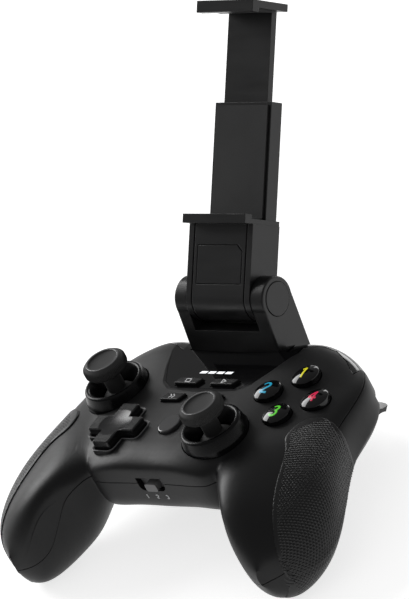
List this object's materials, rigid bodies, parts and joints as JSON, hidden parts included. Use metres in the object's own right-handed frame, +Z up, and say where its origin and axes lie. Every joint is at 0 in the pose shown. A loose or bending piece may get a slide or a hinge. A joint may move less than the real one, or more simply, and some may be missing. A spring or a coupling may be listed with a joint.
{
  "type": "mobile game controller",
  "caption": "Two-handled wireless game pad with thumb sticks, direction pad, buttons and triggers, and a hinged spring clip that holds a phone above the face.",
  "frame": {"origin": "middle of the battery bulge's flat underside, on which the controller rests", "axes": "+X to the player's right, +Y away from the player, +Z up out of the face"},
  "size_m": [0.148, 0.172, 0.1409],
  "materials": {
    "shell": "satin",
    "panel": "gloss",
    "window": "frosted",
    "side_grip": "textured",
    "collar": "gloss",
    "stick_rubber": "matte",
    "dpad": "satin",
    "button": "gloss",
    "key": "satin",
    "bumper": "gloss",
    "trigger": "satin",
    "switch": "satin",
    "arm": "satin",
    "pad": "matte",
    "steel": "brushed",
    "module": "plain",
    "board": "satin",
    "mat": "matte",
    "battery": "foil"
  },
  "bodies": {
    "body": {"top_shell": "shell", "bottom_shell": "shell", "center_panel": "panel", "led_windows": "window", "left_side_grip": "side_grip", "right_side_grip": "side_grip", "left_stick_collar": "collar", "right_stick_collar": "collar", "left_stick_frame": "module", "right_stick_frame": "module", "dpad_post": "module", "main_board": "board", "keypad_mats": "mat", "battery_cell": "battery", "charging_socket": "steel", "left_rumble_motor": "steel", "right_rumble_motor": "steel", "shell_screws": "steel", "trigger_pins": "steel", "trigger_springs": "steel", "lower_arm": "arm", "hinge_pin": "steel", "hinge_caps": "arm"},
    "left_upper_yoke": {"left_upper_yoke": "module"},
    "left_stick_pin": {"left_stick_pin": "steel"},
    "left_stick": {"left_stick_cap": "stick_rubber", "left_stick_shaft": "module"},
    "left_lower_yoke": {"left_lower_yoke": "module"},
    "right_upper_yoke": {"right_upper_yoke": "module"},
    "right_stick_pin": {"right_stick_pin": "steel"},
    "right_stick": {"right_stick_cap": "stick_rubber", "right_stick_shaft": "module"},
    "right_lower_yoke": {"right_lower_yoke": "module"},
    "dpad_rocker": {"dpad_rocker": "module"},
    "dpad": {"dpad_cross": "dpad"},
    "north_button": {"north_button": "button"},
    "west_button": {"west_button": "button"},
    "south_button": {"south_button": "button"},
    "east_button": {"east_button": "button"},
    "select_button": {"select_button": "key"},
    "start_button": {"start_button": "key"},
    "turbo_button": {"turbo_button": "key"},
    "clear_button": {"clear_button": "key"},
    "home_button": {"home_button": "button"},
    "left_bumper": {"left_bumper": "bumper"},
    "left_trigger": {"left_trigger": "trigger"},
    "left_rumble_weight": {"left_rumble_weight": "steel"},
    "right_bumper": {"right_bumper": "bumper"},
    "right_trigger": {"right_trigger": "trigger"},
    "right_rumble_weight": {"right_rumble_weight": "steel"},
    "mode_switch": {"mode_switch": "switch"},
    "clip_arm": {"upper_arm": "arm", "arm_back_cover": "arm", "clamp_spring": "steel", "lower_jaw_pads": "pad"},
    "clip_jaw": {"upper_jaw": "arm", "upper_jaw_pad": "pad"}
  },
  "joints": [
    {"name": "left_stick_forward", "type": "hinge", "parent": "body", "child": "left_upper_yoke", "pos_m": [-0.04, -0.0043, 0.0347], "axis": [1, 0, 0], "range_deg": [-15, 15], "stiffness_Nm_per_rad": 0.03},
    {"name": "left_stick_sideways", "type": "hinge", "parent": "left_upper_yoke", "child": "left_stick_pin", "pos_m": [-0.04, -0.0043, 0.0347], "axis": [0, 1, 0], "range_deg": [-15, 15], "stiffness_Nm_per_rad": 0.03},
    {"name": "left_stick_click", "type": "slide", "parent": "left_stick_pin", "child": "left_stick", "axis": [0, 0, -1], "range_m": [0, 0.0005], "stiffness_N_per_m": 800},
    {"name": "left_lower_yoke_turn", "type": "hinge", "parent": "body", "child": "left_lower_yoke", "pos_m": [-0.04, -0.0043, 0.0347], "axis": [0, 1, 0], "range_deg": [-15, 15]},
    {"name": "right_stick_forward", "type": "hinge", "parent": "body", "child": "right_upper_yoke", "pos_m": [0.022, -0.027, 0.0359], "axis": [1, 0, 0], "range_deg": [-15, 15], "stiffness_Nm_per_rad": 0.03},
    {"name": "right_stick_sideways", "type": "hinge", "parent": "right_upper_yoke", "child": "right_stick_pin", "pos_m": [0.022, -0.027, 0.0359], "axis": [0, 1, 0], "range_deg": [-15, 15], "stiffness_Nm_per_rad": 0.03},
    {"name": "right_stick_click", "type": "slide", "parent": "right_stick_pin", "child": "right_stick", "axis": [0, 0, -1], "range_m": [0, 0.0005], "stiffness_N_per_m": 800},
    {"name": "right_lower_yoke_turn", "type": "hinge", "parent": "body", "child": "right_lower_yoke", "pos_m": [0.022, -0.027, 0.0359], "axis": [0, 1, 0], "range_deg": [-15, 15]},
    {"name": "dpad_up_down", "type": "hinge", "parent": "body", "child": "dpad_rocker", "pos_m": [-0.022, -0.0273, 0.0386], "axis": [1, 0, 0], "range_deg": [-3.5, 3.5], "stiffness_Nm_per_rad": 0.05},
    {"name": "dpad_left_right", "type": "hinge", "parent": "dpad_rocker", "child": "dpad", "pos_m": [-0.022, -0.0273, 0.0386], "axis": [0, 1, 0], "range_deg": [-3.5, 3.5], "stiffness_Nm_per_rad": 0.05},
    {"name": "north_press", "type": "slide", "parent": "body", "child": "north_button", "axis": [0, 0, -1], "range_m": [0, 0.0012], "stiffness_N_per_m": 250},
    {"name": "west_press", "type": "slide", "parent": "body", "child": "west_button", "axis": [0, 0, -1], "range_m": [0, 0.0012], "stiffness_N_per_m": 250},
    {"name": "south_press", "type": "slide", "parent": "body", "child": "south_button", "axis": [0, 0, -1], "range_m": [0, 0.0012], "stiffness_N_per_m": 250},
    {"name": "east_press", "type": "slide", "parent": "body", "child": "east_button", "axis": [0, 0, -1], "range_m": [0, 0.0012], "stiffness_N_per_m": 250},
    {"name": "select_press", "type": "slide", "parent": "body", "child": "select_button", "axis": [0, 0, -1], "range_m": [0, 0.0006], "stiffness_N_per_m": 250},
    {"name": "start_press", "type": "slide", "parent": "body", "child": "start_button", "axis": [0, 0, -1], "range_m": [0, 0.0006], "stiffness_N_per_m": 250},
    {"name": "turbo_press", "type": "slide", "parent": "body", "child": "turbo_button", "axis": [0, 0, -1], "range_m": [0, 0.0006], "stiffness_N_per_m": 250},
    {"name": "clear_press", "type": "slide", "parent": "body", "child": "clear_button", "axis": [0, 0, -1], "range_m": [0, 0.0006], "stiffness_N_per_m": 250},
    {"name": "home_press", "type": "slide", "parent": "body", "child": "home_button", "axis": [0, 0, -1], "range_m": [0, 0.0006], "stiffness_N_per_m": 250},
    {"name": "left_bumper_press", "type": "hinge", "parent": "body", "child": "left_bumper", "pos_m": [-0.027, 0.0215, 0.031], "axis": [0, -1, 0], "range_deg": [0, 1.5], "stiffness_Nm_per_rad": 0.3},
    {"name": "left_trigger_pull", "type": "hinge", "parent": "body", "child": "left_trigger", "pos_m": [-0.047, 0.0081, 0.0235], "axis": [-1, 0, 0], "range_deg": [0, 15], "stiffness_Nm_per_rad": 0.06},
    {"name": "left_rumble_spin", "type": "hinge", "parent": "body", "child": "left_rumble_weight", "pos_m": [-0.057, -0.0518, 0.018], "axis": [0, 1, 0], "continuous": true},
    {"name": "right_bumper_press", "type": "hinge", "parent": "body", "child": "right_bumper", "pos_m": [0.027, 0.0215, 0.031], "axis": [0, 1, 0], "range_deg": [0, 1.5], "stiffness_Nm_per_rad": 0.3},
    {"name": "right_trigger_pull", "type": "hinge", "parent": "body", "child": "right_trigger", "pos_m": [0.047, 0.0081, 0.0235], "axis": [-1, 0, 0], "range_deg": [0, 15], "stiffness_Nm_per_rad": 0.06},
    {"name": "right_rumble_spin", "type": "hinge", "parent": "body", "child": "right_rumble_weight", "pos_m": [0.057, -0.0518, 0.018], "axis": [0, 1, 0], "continuous": true},
    {"name": "mode_switch_slide", "type": "slide", "parent": "body", "child": "mode_switch", "axis": [1, 0, 0], "range_m": [-0.0024, 0.0024]},
    {"name": "clip_fold", "type": "hinge", "parent": "body", "child": "clip_arm", "pos_m": [0, 0.0278, 0.0571], "axis": [1, 0, 0], "range_deg": [-45, 40]},
    {"name": "clip_jaw_slide", "type": "slide", "parent": "clip_arm", "child": "clip_jaw", "axis": [0, 0.6782, 0.7349], "range_m": [-0.02, 0.014]}
  ],
  "couplings": [
    {"joint": "left_lower_yoke_turn", "follows": "left_stick_sideways", "ratio": 1},
    {"joint": "right_lower_yoke_turn", "follows": "right_stick_sideways", "ratio": 1}
  ]
}
